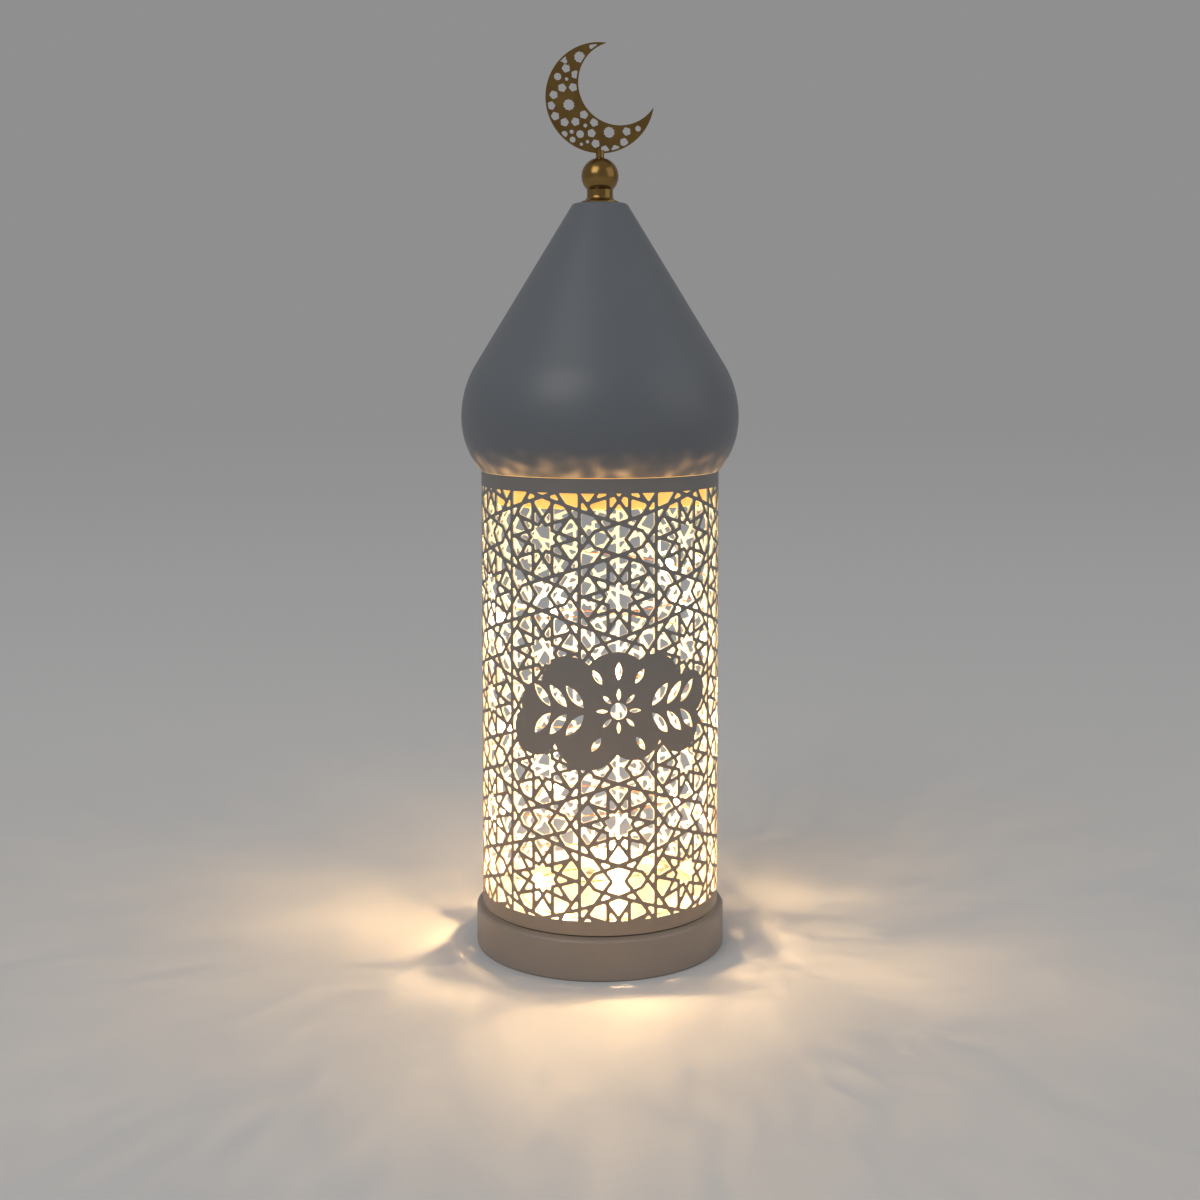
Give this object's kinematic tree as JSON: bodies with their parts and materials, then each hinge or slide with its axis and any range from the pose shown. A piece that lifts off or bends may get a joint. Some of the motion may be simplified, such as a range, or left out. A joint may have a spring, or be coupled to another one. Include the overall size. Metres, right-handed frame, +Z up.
{
  "type": "ramadan fanous lantern",
  "caption": "Free-standing metal fanous lantern: pierced star-lattice shade on a round base, lift-off onion dome, gold crescent finial, battery light string inside.",
  "frame": {"origin": "middle of the base's underside, on the table", "axes": "+Z up along the lantern's axis; -Y towards the front, where the plaque is; +X to the right seen from the front"},
  "size_m": [0.14, 0.14, 0.4553],
  "materials": {
    "grey_paint": "satin",
    "zinc": "satin",
    "nickel": "satin",
    "grommet_rubber": "matte",
    "cover_plastic": "satin",
    "box_plastic": "matte",
    "cell_jacket": "gloss",
    "board": "satin",
    "knob_plastic": "satin",
    "copper_wire": "gloss",
    "bead_glow": "gloss",
    "collar_plastic": "satin",
    "gold": "gloss"
  },
  "bodies": {
    "lantern": {"base_pan": "grey_paint", "lattice_shade": "grey_paint", "shade_tabs": "zinc", "tab_screws": "zinc", "wire_grommet": "grommet_rubber", "cover_spacers": "zinc", "bottom_cover": "cover_plastic", "cover_screws": "zinc", "battery_box": "box_plastic", "battery_cells": "cell_jacket", "contact_springs": "nickel", "contact_plates": "nickel", "driver_board": "board", "switch_body": "zinc", "light_wire": "copper_wire", "light_beads": "bead_glow"},
    "lid": {"dome_shell": "grey_paint", "dome_collar": "collar_plastic", "finial_foot": "gold", "finial_ball": "gold", "finial_neck": "gold", "crescent": "gold", "finial_stud": "zinc", "stud_washer": "zinc", "stud_nut": "zinc"},
    "door": {"battery_door": "cover_plastic"},
    "switch": {"switch_slider": "knob_plastic"}
  },
  "joints": [
    {"name": "dome_lift", "type": "slide", "parent": "lantern", "child": "lid", "axis": [0, 0, 1], "range_m": [0, 0.06]},
    {"name": "battery_door_slide", "type": "slide", "parent": "lantern", "child": "door", "axis": [1, 0, 0], "range_m": [0, 0.006]},
    {"name": "switch_slide", "type": "slide", "parent": "lantern", "child": "switch", "axis": [1, 0, 0], "range_m": [0, 0.0035]}
  ]
}
